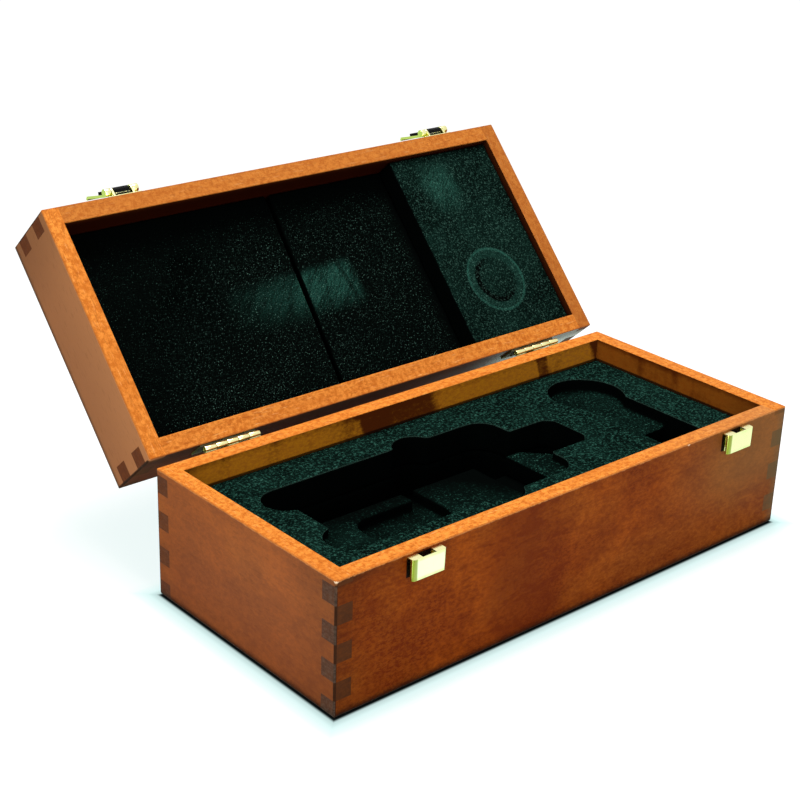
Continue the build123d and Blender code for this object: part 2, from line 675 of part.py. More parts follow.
base_carcass()
lid_carcass()
base_foam()
lid_foam()
hinges()
latches()

for node, shape in nodes.items():
    export_step(shape, f"parts/{node}.step")
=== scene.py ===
"""Wooden microphone case: finishes of the boards, the foam and the brass, the foam's soft meshes, and the stage.

Metres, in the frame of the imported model: the origin is the centre of the base's underside, +X runs along the front
and +Y towards the hinges. The lid rests open, so its finishes are worked out in its shut place.
"""
import json
from collections import namedtuple
from math import cos, pi, radians, sin

import bpy
from bpy.props import FloatProperty, FloatVectorProperty, PointerProperty
from mathutils import Matrix, Vector


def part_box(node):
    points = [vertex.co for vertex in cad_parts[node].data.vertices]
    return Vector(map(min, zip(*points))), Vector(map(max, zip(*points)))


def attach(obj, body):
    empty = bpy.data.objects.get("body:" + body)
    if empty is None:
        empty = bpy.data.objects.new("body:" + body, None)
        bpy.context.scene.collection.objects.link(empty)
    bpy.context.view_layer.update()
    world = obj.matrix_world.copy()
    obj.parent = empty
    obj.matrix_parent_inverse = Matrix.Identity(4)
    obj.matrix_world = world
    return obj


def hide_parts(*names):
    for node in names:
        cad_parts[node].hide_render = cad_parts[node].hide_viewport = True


bl_info = {
    "name": "Microphone Case",
    "version": (1, 0, 0),
    "blender": (4, 5, 0),
    "location": "View3D > Sidebar > Case",
    "description": "Finishes and soft foam for a box-jointed wooden microphone case",
    "category": "Object",
}

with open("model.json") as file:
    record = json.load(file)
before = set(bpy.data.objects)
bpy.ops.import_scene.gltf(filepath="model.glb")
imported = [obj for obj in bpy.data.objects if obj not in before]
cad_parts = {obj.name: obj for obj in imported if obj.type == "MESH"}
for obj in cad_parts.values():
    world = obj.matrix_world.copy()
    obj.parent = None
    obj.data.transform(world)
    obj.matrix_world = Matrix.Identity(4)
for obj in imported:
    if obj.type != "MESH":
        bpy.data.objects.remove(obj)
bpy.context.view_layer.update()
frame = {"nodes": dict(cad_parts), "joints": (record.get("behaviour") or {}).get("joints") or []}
MM = 0.001

# Sizes of the case, most of them read from the frame
LID_JOINT = next(joint for joint in frame["joints"] if joint["name"] == "lid")
LID_PIN = Vector(LID_JOINT["pos_m"])
LID_SWING = radians(max(LID_JOINT["range_deg"]))
HALF_LENGTH, _, BASE_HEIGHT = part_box("base_front_board")[1]
HALF_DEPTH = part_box("base_back_board")[1][1]
FOAM_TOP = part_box("base_foam_top")[1][2]
LID_HEIGHT = 54.8 * MM
LID_RIM = 2 * LID_PIN.z - BASE_HEIGHT
LID_TOP = LID_RIM + LID_HEIGHT
WALL = 12.2 * MM
RIM_SKIN = 0.45 * MM
LID_BLOCK_LEFT = 90.5 * MM
SIDES = ("left", "right")

# The seam between the lid's thin pads: its shift at the middle, its slope, and how far beside it the foam gives way
PAD_SEAM = (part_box("lid_foam_left_pad")[1][0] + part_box("lid_foam_middle_pad")[0][0]) / 2
SEAM_SHIFT = 1.75 * MM
SEAM_SLOPE = 0.0617
SEAM_REACH = 34 * MM

# Marks of use
CHIPS = ((0.0968, -0.0894, 0.0905), (-0.1994, -0.0888, 0.0905))
RING_PLACE = (0.137, 0.0325)
RING_OUTER = 25.5 * MM
RING_INNER = 17 * MM

# Rubbed patches in the lid's foam, in mm: left, right, front, back, then the ease at left, at right and across
LONG_BAR = (-96, -12, -18, 27, 84, 6, 26)
SHORT_BAR = (-20, 32, -20, 24, 9, 12, 20)
SMEAR = (104, 148, -74, -18, 18, 14, 34)

# Dark stains on the inner back wall: left, right, the ease of each side, and strength
WALL_STAINS = ((-52 * MM, 24 * MM, 9 * MM, 14 * MM, 1.0), (118 * MM, 133 * MM, 3 * MM, 4 * MM, 0.8))
# Where painted shade starts to darken the inner back wall towards the right inner corner
CORNER_SHADE_START = 176 * MM

# Fixed tones, in linear values
PORE = (0.045, 0.010, 0.003)
# Painted sheen: a paler, greyer veil on the front's right and at its right corner
FRONT_SHEEN = (0.27, 0.135, 0.040)
CORNER_SHEEN = (0.12, 0.085, 0.040)
END_WALL_PATCH = (0.30, 0.095, 0.009)
# Painted shade on the inner walls just above the foam
SHADE_ABOVE_FOAM = (0.004, 0.002, 0.001)
# Painted shade inside the lid
LID_INSIDE_SHADE = (0.004, 0.001, 0.0005)
# Painted shade on the lid's back board near its rim
GAP_SHADE = (0.010, 0.012, 0.008)
# Painted shadow of the keepers on the front
KEEPER_SHADOW = (0.002, 0.001, 0.001)
# Darker tone near the case's near corner, and painted shade under the rim there
NEAR_CORNER_TONE_AND_SHADE = (0.030, 0.008, 0.002)
# Painted shade along the far edge of each board
FAR_EDGE_SHADE = (0.010, 0.003, 0.001)
# Pale corners, partly wear and partly a painted highlight of rounded edges
WEAR_AND_EDGE_HIGHLIGHT = (0.62, 0.25, 0.085)
UPRIGHT_LINE = (0.008, 0.003, 0.002)
SMALL_CHIP = (0.80, 0.52, 0.30)
LARGE_CHIP = (0.85, 0.62, 0.40)
RIM_SPOT = (0.30, 0.055, 0.004)
RIM_PORE = (0.25, 0.060, 0.008)
RIM_FLECK = (1.0, 0.60, 0.24)
RIM_STAIN = (0.36, 0.105, 0.022)
# Painted shade on the rims of some boards
RIM_SHADE = (0.25, 0.075, 0.016)
RIM_DULL = (0.38, 0.17, 0.060)
FRONT_FINGER = (0.030, 0.008, 0.001)
# End grain of the right end, greyed by a painted sheen
RIGHT_FINGER_SHEEN = (0.105, 0.090, 0.045)
# Painted reflection: greener tone on brass sides and on the keepers' left bends
BRASS_SIDE_REFLECTION = (0.52, 0.60, 0.05)
# Painted shade on the hinge leaves
LEAF_SHADE = (0.030, 0.022, 0.008)
KEEPER_BEND_REFLECTION = (0.24, 0.26, 0.010)
# Painted glare on the keepers' fronts
KEEPER_LEFT_GLARE = (0.97, 0.91, 0.68)
KEEPER_RIGHT_GLARE = (0.95, 0.84, 0.46)
STEEL = (0.004, 0.004, 0.004)
RUBBED_STEEL = (0.03, 0.03, 0.025)
# Painted highlight on the springs and catches
STEEL_HIGHLIGHT = (0.85, 0.85, 0.80)

# Tones of the stage: the floor as the case sees and mirrors it, with painted shade behind the case, its partly
# painted shadow and contact line, its glow, and the room
FLOOR_BOUNCE = (0.80, 0.88, 0.88)
FLOOR_MIRRORED = (0.74, 0.92, 0.82)
FLOOR_BEHIND_SHADE = (0.05, 0.06, 0.06)
CONTACT_SHADE = (0.010, 0.015, 0.015)
NEAR_SHADOW = (0.10, 0.40, 0.38)
FAR_SHADOW = (1.0, 0.70, 0.70)
NEAR_GLOW = (1.20, 1.42, 1.40)
FAR_GLOW = (1.06, 1.06, 1.06)
ROOM = (0.9, 0.95, 1.0)
ROOM_STRENGTH = 0.30
WHITE = (1.0, 1.0, 1.0)

# Foam meshes: how much coarser than the foam grid they are, size of the slow waves, and size and height of the fine
# grain
FOAM_COARSENESS = 1.0
FOAM_WAVE = 26 * MM
FOAM_GRAIN = 1.9 * MM
FOAM_GRAIN_HEIGHT = 0.22 * MM

# Brass sheet: how near its facets' corners are merged, and the angle from which an edge is rounded
WELD_REACH = 0.002 * MM
SHARP_EDGE = radians(35.0)

# Springs: wire radii from turn to turn, and steps in each turn
COIL_PITCH = 2.08
COIL_STEPS = 20

# The stage: lamps with their place, size and power, and the camera
LAMPS = {
    "key": ((0.15, 0.32, 1.7), 0.8, 32.0),
    "left": ((-1.6, -0.2, 0.8), 1.0, 12.0),
    "front": ((-0.2, -1.8, 0.8), 1.0, 12.0),
}
LAMP_AIM = Vector((0, 0.05, 0.1))
FLOOR_SIZE = 6.0
CAMERA_PLACE = (-0.70388, -0.70748, 0.54583)
CAMERA_TURN = (1.1615, -0.03028, -0.71064)
CAMERA_LENS = 74.87
CAMERA_SENSOR = 36.0

# How a board is stained: the axis of its grain, whether it rides on the lid, the start of its noise, how pale it is,
# partly its wood and partly a painted sheen, how bright its rim is under painted shade, and how strong the
# patches on its inner face are
ALONG_X, ALONG_Y = "x", "y"
Board = namedtuple("Board", "grain on_lid seed pale rim_tone patches")
BOARDS = {
    "base_front_board": Board(ALONG_X, False, 0.0, 0.0, 1.0, 0.0),
    "base_back_board": Board(ALONG_X, False, 0.31, 0.1, 0.95, 0.95),
    "base_left_end": Board(ALONG_Y, False, 0.57, 0.22, 0.97, 0.5),
    "base_right_end": Board(ALONG_Y, False, 0.83, 0.0, 0.9, 0.8),
    "base_bottom_panel": Board(ALONG_X, False, 1.13, 0.0, 1.0, 0.0),
    "lid_front_board": Board(ALONG_X, True, 1.31, 0.1, 0.5, 0.0),
    "lid_back_board": Board(ALONG_X, True, 1.57, 0.1, 0.8, 0.0),
    "lid_left_end": Board(ALONG_Y, True, 1.83, 0.88, 0.92, 0.0),
    "lid_right_end": Board(ALONG_Y, True, 2.09, 0.1, 0.35, 0.0),
    "lid_top_panel": Board(ALONG_X, True, 2.33, 0.1, 1.0, 0.0),
}


# Sizes and colours that a user would change

class CaseSizes(bpy.types.PropertyGroup):
    foam_grid: FloatProperty(
        name="Foam grid", description="Size of the mesh cells of the foam", default=1.6 * MM, unit="LENGTH")
    foam_cell: FloatProperty(
        name="Foam cell", description="Size of the foam's open cells", default=1.1 * MM, unit="LENGTH")
    foam_bump: FloatProperty(
        name="Foam unevenness", description="Height of the foam's slow waves", default=0.35 * MM, unit="LENGTH")
    sheet_edge: FloatProperty(
        name="Sheet edge", description="Rounding of the brass sheet's edges", default=0.18 * MM, unit="LENGTH")
    spring_wire: FloatProperty(
        name="Spring wire", description="Radius of the latch springs' wire", default=0.5 * MM, unit="LENGTH")


def colour_property(name, description, default):
    """One colour of the case, in linear values."""
    return FloatVectorProperty(name=name, description=description, default=default, size=3, subtype="COLOR")


class CaseColours(bpy.types.PropertyGroup):
    stain_dark: colour_property("Dark stain", "Stain in the grain's dark places", (0.120, 0.014, 0.0005))
    stain_light: colour_property("Light stain", "Stain between them", (0.315, 0.062, 0.003))
    stain_grey: colour_property("Dull stain", "Browner places in the stain", (0.26, 0.072, 0.007))
    # Partly the paler tone of the ends' wood and partly a painted sheen on them
    stain_pale_sheen: colour_property("Pale stain and sheen", "Paler wood of the ends", (0.54, 0.225, 0.088))
    rim_light: colour_property("Light rim", "Sawn rims of base and lid", (0.78, 0.27, 0.042))
    rim_dark: colour_property("Dark rim", "Darker grain of the rims", (0.50, 0.125, 0.012))
    end_grain: colour_property("End grain", "End grain of the fingers", (0.050, 0.032, 0.022))
    end_grain_light: colour_property("Light end grain", "Pores of the end grain", (0.098, 0.060, 0.040))
    glue_dark: colour_property("Dark patch", "Dark patches on the inner walls", (0.075, 0.015, 0.002))
    glue_light: colour_property("Light patch", "Light patches on the inner walls", (0.54, 0.205, 0.009))
    foam_dark: colour_property("Foam", "Foam in the shade of its cells", (0.0010, 0.0016, 0.0014))
    foam_light: colour_property("Dusty foam", "Dusty rims of the foam's cells", (0.016, 0.066, 0.048))
    foam_speck: colour_property("Foam specks", "Brightest specks of the foam", (0.085, 0.175, 0.135))
    brass: colour_property("Brass", "Polished brass", (0.90, 0.86, 0.45))
    brass_dark: colour_property("Dull brass", "Handled brass", (0.70, 0.68, 0.20))


# Shader maths

class Link:
    """A socket or a number of one node tree, with the usual operators."""

    def __init__(self, shader, source):
        self.shader = shader
        self.source = source

    def _join(self, operation, *others):
        return self.shader.add("ShaderNodeMath", {"operation": operation}, [self, *others])

    def __add__(self, other):
        return self._join("ADD", other)

    def __radd__(self, other):
        return self._join("ADD", other)

    def __sub__(self, other):
        return self._join("SUBTRACT", other)

    def __rsub__(self, other):
        return Link(self.shader, other)._join("SUBTRACT", self)

    def __mul__(self, other):
        return self._join("MULTIPLY", other)

    def __rmul__(self, other):
        return self._join("MULTIPLY", other)

    def __pow__(self, other):
        return self._join("POWER", other)

    def __gt__(self, other):
        return self._join("GREATER_THAN", other)

    def __lt__(self, other):
        return self._join("LESS_THAN", other)

    def __abs__(self):
        return self._join("ABSOLUTE")

    def least(self, other):
        return self._join("MINIMUM", other)

    def most(self, other):
        return self._join("MAXIMUM", other)

    def ramp(self, low, high):
        """Smooth step from nothing at low to one at high."""
        settings = {"interpolation_type": "SMOOTHSTEP"}
        return self.shader.add("ShaderNodeMapRange", settings, [self, low, high, 0.0, 1.0])

    def fade(self, low, high):
        """Smooth step from one at low to nothing at high."""
        return 1.0 - self.ramp(low, high)

    def between(self, low, high, ease_low, ease_high):
        """One between low and high, eased on each side over its own width."""
        return (self - low).ramp(0.0, ease_low) * (high - self).ramp(0.0, ease_high)


class NodeTree:
    """The nodes of a material or of the world, and the methods that add and link them."""

    def __init__(self, owner):
        owner.use_nodes = True
        self.tree = owner.node_tree

    def add(self, kind, settings=None, values=(), output=0):
        """Add a node: its settings first, then values or links for its sockets by place or by name."""
        node = self.tree.nodes.new(kind)
        for key, value in (settings or {}).items():
            setattr(node, key, value)
        pairs = values.items() if isinstance(values, dict) else enumerate(values)
        for key, value in pairs:
            self.feed(node.inputs[key], value)
        return Link(self, node.outputs[output])

    def feed(self, socket, value):
        """Link or set one socket."""
        source = value.source if isinstance(value, Link) else value
        if isinstance(source, bpy.types.NodeSocket):
            self.tree.links.new(source, socket)
        elif hasattr(source, "__len__") and len(socket.default_value) == 4 and len(source) == 3:
            socket.default_value = (*source, 1.0)
        else:
            socket.default_value = source

    def ray(self, kind):
        """One for light paths of a kind, and nothing for the others."""
        return self.add("ShaderNodeLightPath", output=kind)


class Shader(NodeTree):
    """The nodes of one material."""

    def __init__(self, name):
        self.material = bpy.data.materials.new(name)
        super().__init__(self.material)
        self.surface = self.tree.nodes["Principled BSDF"]

    def mix(self, factor, first, second):
        """Blend two colours."""
        return self.add("ShaderNodeMix", {"data_type": "RGBA"}, {0: factor, 6: first, 7: second}, 2)

    def vector(self, operation, first, second, output=0):
        return self.add("ShaderNodeVectorMath", {"operation": operation}, {0: first, 1: second}, output)

    def split(self, vector):
        """The three parts of a vector."""
        node = self.add("ShaderNodeSeparateXYZ", None, [vector])
        return [Link(self, socket) for socket in node.source.node.outputs]

    def noise(self, place, scale, detail=2.0, roughness=0.5, distortion=0.0):
        values = {"Vector": place, "Scale": scale, "Detail": detail, "Roughness": roughness, "Distortion": distortion}
        return self.add("ShaderNodeTexNoise", None, values)

    def place(self, on_lid=False):
        """Object coordinates, turned back to the shut place for what rides on the lid."""
        point = self.add("ShaderNodeTexCoord", output="Object")
        if not on_lid:
            return point
        turned = Matrix.Rotation(LID_SWING, 3, "X") @ LID_PIN
        return self.add("ShaderNodeMapping", {"vector_type": "POINT"}, {
            "Vector": point, "Location": LID_PIN - turned, "Rotation": (LID_SWING, 0, 0)})

    def normal(self, on_lid=False):
        """Object-space normal, turned back to the shut place for what rides on the lid."""
        direction = self.add("ShaderNodeTexCoord", output="Normal")
        if not on_lid:
            return direction
        return self.add("ShaderNodeMapping", {"vector_type": "POINT"}, {
            "Vector": direction, "Rotation": (LID_SWING, 0, 0)})

    def bump(self, height, distance, strength):
        return self.add("ShaderNodeBump", None, {"Strength": strength, "Distance": distance, "Height": height})

    def finish(self, **values):
        """Feed the surface: names of its sockets with underscores for spaces."""
        for key, value in values.items():
            self.feed(self.surface.inputs[key.replace("_", " ")], value)
        return self.material


class StainedWood:
    """Stained and waxed wood of one board, laid on in steps that each take a colour and give the next."""

    def __init__(self, node, colours):
        self.node = node
        self.board = BOARDS[node]
        self.colours = colours
        self.along_x = self.board.grain == ALONG_X
        self.shader = Shader(f"stained_{node}")
        self.measure()
        self.grow()

    def measure(self):
        """Place, normal and distances from the case's outer faces, the rim and the far edge."""
        s = self.shader
        on_lid = self.board.on_lid
        self.point = s.place(on_lid)
        self.x, self.y, self.z = s.split(self.point)
        self.nx, self.ny, self.nz = s.split(s.normal(on_lid))
        self.from_end = HALF_LENGTH - abs(self.x)
        self.from_side = HALF_DEPTH - abs(self.y)
        self.to_rim = abs(self.z - (LID_RIM if on_lid else BASE_HEIGHT))
        self.to_far = abs(self.z - (LID_TOP if on_lid else 0.0))
        self.corner = (self.from_end + self.from_side).least(
            self.from_end + self.to_rim).least(self.from_side + self.to_rim)
        self.inner = (self.from_side > WALL * 0.9) * (self.from_end > WALL * 0.9)
        self.front = self.ny < -0.5
        self.on_rim = (self.to_rim < RIM_SKIN) * (abs(self.nz) > 0.5)
        self.on_end = abs(self.nx if self.along_x else self.ny) > 0.6

    def grow(self):
        """Grain, pores and cloudiness."""
        s = self.shader
        seed = self.board.seed
        self.shifted = s.vector("ADD", self.point, (seed, seed * 1.7, seed * 0.6))
        self.long_grain = self.stretched((0.10, 1.0, 1.0) if self.along_x else (1.0, 0.10, 1.0))
        fine_grain = self.stretched((0.14, 1.0, 1.0) if self.along_x else (1.0, 0.14, 1.0))
        self.streaks = s.noise(self.long_grain, 130.0, detail=4.0, roughness=0.62, distortion=0.4)
        self.fibres = s.noise(fine_grain, 1500.0, detail=2.0, roughness=0.6)
        self.pores = s.noise(fine_grain, 1050.0, detail=1.0, roughness=0.4).ramp(0.60, 0.72)
        self.clouds = s.noise(self.shifted, 20.0, detail=4.0, roughness=0.6)
        self.mottle = s.noise(self.stretched((0.6, 0.6, 1.0)), 430.0, detail=3.0, roughness=0.8)

    def stretched(self, factors):
        return self.shader.vector("MULTIPLY", self.shifted, factors)

    def moved(self, offset):
        return self.shader.vector("ADD", self.shifted, offset)

    def stain(self):
        """The stain itself, which is uneven, with a painted sheen that makes the front paler and greyer at its right.
        """
        s = self.shader
        colours = self.colours
        streaky = self.streaks.ramp(0.32, 0.70) * 0.16 + self.fibres.ramp(0.3, 0.7) * 0.10
        tint = streaky + self.mottle.ramp(0.36, 0.64) * 0.44 + self.clouds.ramp(0.30, 0.70) * 0.50 - 0.06
        colour = s.mix(tint, colours.stain_dark, colours.stain_light)
        hue = s.noise(self.moved((0.7, 0.2, 0.4)), 11.0, detail=3.0, roughness=0.55)
        dull = hue.ramp(0.42, 0.68) * 0.5 + self.x.ramp(0.0, 0.2) * 0.3
        colour = s.mix(dull, colour, s.mix(tint, colours.stain_dark, colours.stain_grey))
        figure = s.noise(self.stretched((0.7, 0.7, 1.5)), 62.0, detail=3.0, roughness=0.7, distortion=0.6)
        from_band = abs(self.x + 50 * MM + (self.clouds - 0.5) * 60 * MM)
        dark_band = from_band.fade(4 * MM, 44 * MM) * (0.6 if self.along_x else 0.0)
        colour = s.mix((figure.ramp(0.46, 0.70) * 0.5 + dark_band).least(0.8), colour, colours.stain_dark)
        if not self.board.on_lid:
            # Painted sheen: a paler, greyer veil over the upper right of the front, and along its right corner
            sheen = self.x.ramp(0.06, 0.19) * self.z.ramp(12 * MM, 62 * MM) * 0.45
            colour = s.mix(sheen * self.front, colour, FRONT_SHEEN)
            colour = s.mix(self.x.ramp(0.190, 0.199) * 0.45 * self.front, colour, CORNER_SHEEN)
        # Paler tone of some boards, partly their wood and partly a painted sheen
        colour = s.mix(self.board.pale, colour, colours.stain_pale_sheen)
        return s.mix(self.pores * 0.14, colour, PORE)

    def patches(self, colour):
        """Patches of glue and thick stain on the inner walls of the base, with painted shade in the right inner
        corner and just above the foam.
        """
        s = self.shader
        colours = self.colours
        blots = s.noise(self.stretched((1.0, 1.0, 0.35)), 30.0, detail=3.0, roughness=0.6)
        dark = blots.ramp(0.50, 0.66) * 0.6
        if self.along_x:
            sway = (blots - 0.5) * 18 * MM + self.x + (self.z - BASE_HEIGHT) * 0.5
            # Painted shade towards the right inner corner
            dark = dark * 0.7 + (sway - CORNER_SHADE_START).ramp(0.0, 8 * MM)
            for left, right, ease_left, ease_right, strength in WALL_STAINS:
                dark = dark + sway.between(left, right, ease_left, ease_right) * (strength * 0.85)
        else:
            dark = dark + self.to_rim.fade(0.0, 6 * MM) * 0.4
        dark = dark + self.to_rim.fade(0.0, 7 * MM) * 0.35
        dark = dark + (self.mottle - 0.5) * 0.9 + (self.streaks - 0.5) * 0.5
        light = colours.glue_light if self.along_x else END_WALL_PATCH
        light = s.mix(self.mottle.ramp(0.3, 0.7) * 0.5, light, colour)
        patch = s.mix(dark.ramp(0.0, 1.0), light, colours.glue_dark)
        colour = s.mix(self.inner * self.board.patches, colour, patch)
        # Painted shade line on the inner walls just above the foam
        shade_above_foam = (self.z - FOAM_TOP).fade(0.4 * MM, 1.5 * MM)
        return s.mix(self.inner * shade_above_foam * 0.9, colour, SHADE_ABOVE_FOAM)

    def shade_inside_lid(self, colour):
        """The lid's inner walls, painted near black as shade, a little less so next to the rim."""
        shade_depth = 0.84 + self.to_rim.ramp(1 * MM, 7 * MM) * 0.155
        return self.shader.mix(self.inner * (self.to_far > MM) * shade_depth, colour, LID_INSIDE_SHADE)

    def outside(self, colour, keepers):
        """What differs on single outer faces: painted shade on the lid's back near its rim, the pale end with painted
        shade towards its far edge, and the painted shadow of the keepers.
        """
        s = self.shader
        if self.node == "lid_back_board":
            # Painted shade on the lid's back board near its rim, weaker towards the right
            gap_shade = (self.ny > 0.6) * self.to_rim.fade(5 * MM, 30 * MM) * (0.72 - self.x.ramp(0.0, 0.19) * 0.2)
            colour = s.mix(gap_shade, colour, GAP_SHADE)
        if self.board.pale:
            # Painted shade, darker towards the far edge of the pale boards
            shaded_tone = s.mix(0.6, colour, self.colours.stain_dark)
            colour = s.mix(self.to_far.fade(5 * MM, 85 * MM) * 0.5, colour, shaded_tone)
        for low, high in keepers:
            # Painted shadow of the keeper on the front, behind and beside it
            shade_behind = (self.x > low.x) * (self.x < high.x) * (self.z > low.z) * (self.z < high.z) * self.front
            colour = s.mix(shade_behind * 0.97, colour, KEEPER_SHADOW)
        return colour

    def edges(self, colour):
        """Darker tone near the left ends of the long boards and the front of the end boards, painted shade under the
        rim at the front's left, painted shade along the far edge, wear with painted edge highlights, the corner's
        dark line, and chips.
        """
        s = self.shader
        left = self.x < 0.0
        # Painted shade under the rim at the left of the front
        shade_under_rim = self.to_rim.fade(1.5 * MM, 7 * MM) * self.from_end.fade(0.0, 60 * MM) * left * self.front
        if self.along_x:
            near_corner_tone = self.from_end.fade(0.0, 30 * MM) * left * 0.35
        else:
            near_corner_tone = self.from_side.fade(0.0, 60 * MM) * (self.y < 0.0) * 0.28
        colour = s.mix(near_corner_tone + shade_under_rim * 0.55, colour, NEAR_CORNER_TONE_AND_SHADE)
        ragged = (self.mottle - 0.5) * MM
        # Painted shade along the far edge: the base's bottom edge and the lid's top edge
        far_edge_shade = (self.to_far + ragged * 2.0).fade(1.2 * MM, 7.5 * MM) * (abs(self.nz) < 0.97)
        colour = s.mix(far_edge_shade * 0.92, colour, FAR_EDGE_SHADE)
        rubs = s.noise(self.shifted, 330.0, detail=3.0, roughness=0.7)
        # Pale line along the corners, partly wear and partly a painted highlight of rounded edges
        colour = s.mix((self.corner + rubs * 2.2 * MM).fade(1.2 * MM, 2.3 * MM) * 0.75, colour, WEAR_AND_EDGE_HIGHLIGHT)
        upright = (self.from_end + self.from_side).fade(0.9 * MM, 1.6 * MM) * (abs(self.nz) < 0.5)
        upright = upright * self.to_rim.ramp(1.0 * MM, 4.0 * MM) * self.clouds.ramp(0.30, 0.46)
        colour = s.mix(upright * 0.92, colour, UPRIGHT_LINE)
        chips = s.noise(self.moved((3.1, 1.2, 0.4)), 150.0, detail=4.0, roughness=0.75).ramp(0.70, 0.73)
        colour = s.mix(chips * self.corner.fade(0.9 * MM, 2.0 * MM), colour, SMALL_CHIP)
        if not self.board.on_lid:
            for place in CHIPS:
                from_chip = s.vector("DISTANCE", self.point, place, "Value")
                colour = s.mix((from_chip + ragged * 1.5).fade(0.9 * MM, 1.9 * MM), colour, LARGE_CHIP)
        return colour

    def rim(self, colour):
        """The sawn rim, brighter and more spotted than the faces, with painted shade that darkens the rims of some
        boards.
        """
        s = self.shader
        colours = self.colours
        grain = self.mottle.ramp(0.38, 0.60) * 0.8 + self.fibres.ramp(0.3, 0.7) * 0.2
        sawn = s.mix(grain, colours.rim_dark, colours.rim_light)
        spots = s.noise(self.moved((2.0, 0.3, 1.1)), 300.0, detail=3.0, roughness=0.8).ramp(0.54, 0.66)
        sawn = s.mix(spots * 0.38, sawn, RIM_SPOT)
        sawn = s.mix(self.streaks.ramp(0.45, 0.65) * 0.4, sawn, colours.rim_dark)
        sawn = s.mix(self.pores * 0.4, sawn, RIM_PORE)
        flecks = s.noise(self.long_grain, 900.0, detail=2.0, roughness=0.6).ramp(0.62, 0.72)
        sawn = s.mix(flecks * 0.28, sawn, RIM_FLECK)
        ragged = s.noise(self.moved((1.3, 2.2, 5.0)), 520.0, detail=3.0, roughness=0.65)
        outer = self.from_end.least(self.from_side)
        sawn = s.mix((outer + ragged * 2.4 * MM).fade(1.7 * MM, 2.5 * MM) * 0.55, sawn, RIM_STAIN)
        # Painted shade that darkens the rims of some boards
        sawn = s.mix(1.0 - self.board.rim_tone, sawn, RIM_SHADE)
        if self.along_x and not self.board.on_lid:
            sawn = s.mix(self.x.ramp(0.02, 0.2) * (self.y < 0.0) * 0.45, sawn, RIM_DULL)
        return s.mix(self.on_rim, colour, sawn)

    def fingers(self, colour):
        """End grain of the fingers."""
        s = self.shader
        rings = s.noise(self.stretched((1.0, 1.0, 1.6)), 360.0, detail=3.0, roughness=0.7)
        ends = s.mix(rings.ramp(0.35, 0.7), self.colours.end_grain, self.colours.end_grain_light)
        shown = self.on_end * (0.66 + rings.ramp(0.3, 0.7) * 0.16)
        if not self.along_x:
            # End grain, with a painted sheen that greys the right end's fingers
            ends = s.mix(self.x > 0.0, s.mix(0.88, ends, FRONT_FINGER), RIGHT_FINGER_SHEEN)
            shown = shown * self.to_rim.ramp(2.0 * MM, 5.0 * MM) * (1.0 - (self.x > 0.0) * 0.4)
        elif self.board.on_lid:
            shown = shown * 0.38
        else:
            shown = shown * (1.0 - self.y.ramp(0.0, 60 * MM) * 0.42)
        return s.mix(shown, colour, ends)

    def material(self, keepers=()):
        """Lay on every step and give the finished material."""
        colour = self.stain()
        if self.board.patches:
            colour = self.patches(colour)
        elif self.board.on_lid:
            colour = self.shade_inside_lid(colour)
        colour = self.fingers(self.rim(self.edges(self.outside(colour, keepers))))
        wax = 0.0
        if self.node == "lid_back_board":
            wax = (self.ny > 0.6) * self.x.ramp(-0.02, 0.18) * (0.35 + self.to_rim.ramp(6 * MM, 26 * MM) * 0.65)
        rough = 0.40 + self.fibres * 0.14 + self.on_end * 0.12 + self.on_rim * 0.1
        height = self.fibres * 0.5 - self.pores * 0.9 + self.streaks * 0.25
        normal = self.shader.bump(height, 0.05 * MM, 0.6)
        return self.shader.finish(
            Base_Color=colour, Roughness=rough, Normal=normal, Specular_IOR_Level=0.03, Coat_Weight=wax,
            Coat_Roughness=0.12)


def foam_patterns(s, point, sizes):
    """Scale of the foam's cells, the cells, the sparks on them, and slow changes over the foam."""
    scale = 1.0 / sizes.foam_cell
    cells = s.add("ShaderNodeTexVoronoi", {"feature": "F1"}, {"Vector": point, "Scale": scale})
    sparks = s.noise(point, scale * 1.1, detail=2.0, roughness=0.7)
    slow = s.noise(point, 26.0, detail=3.0, roughness=0.6)
    return scale, cells, sparks, slow


def foam_finish(s, colour, cells, sparks):
    """Matt foam with open cells."""
    normal = s.bump(cells * 0.7 + sparks * 0.6, 0.5 * MM, 0.9)
    return s.finish(Base_Color=colour, Roughness=0.95, Normal=normal, Specular_IOR_Level=0.0)


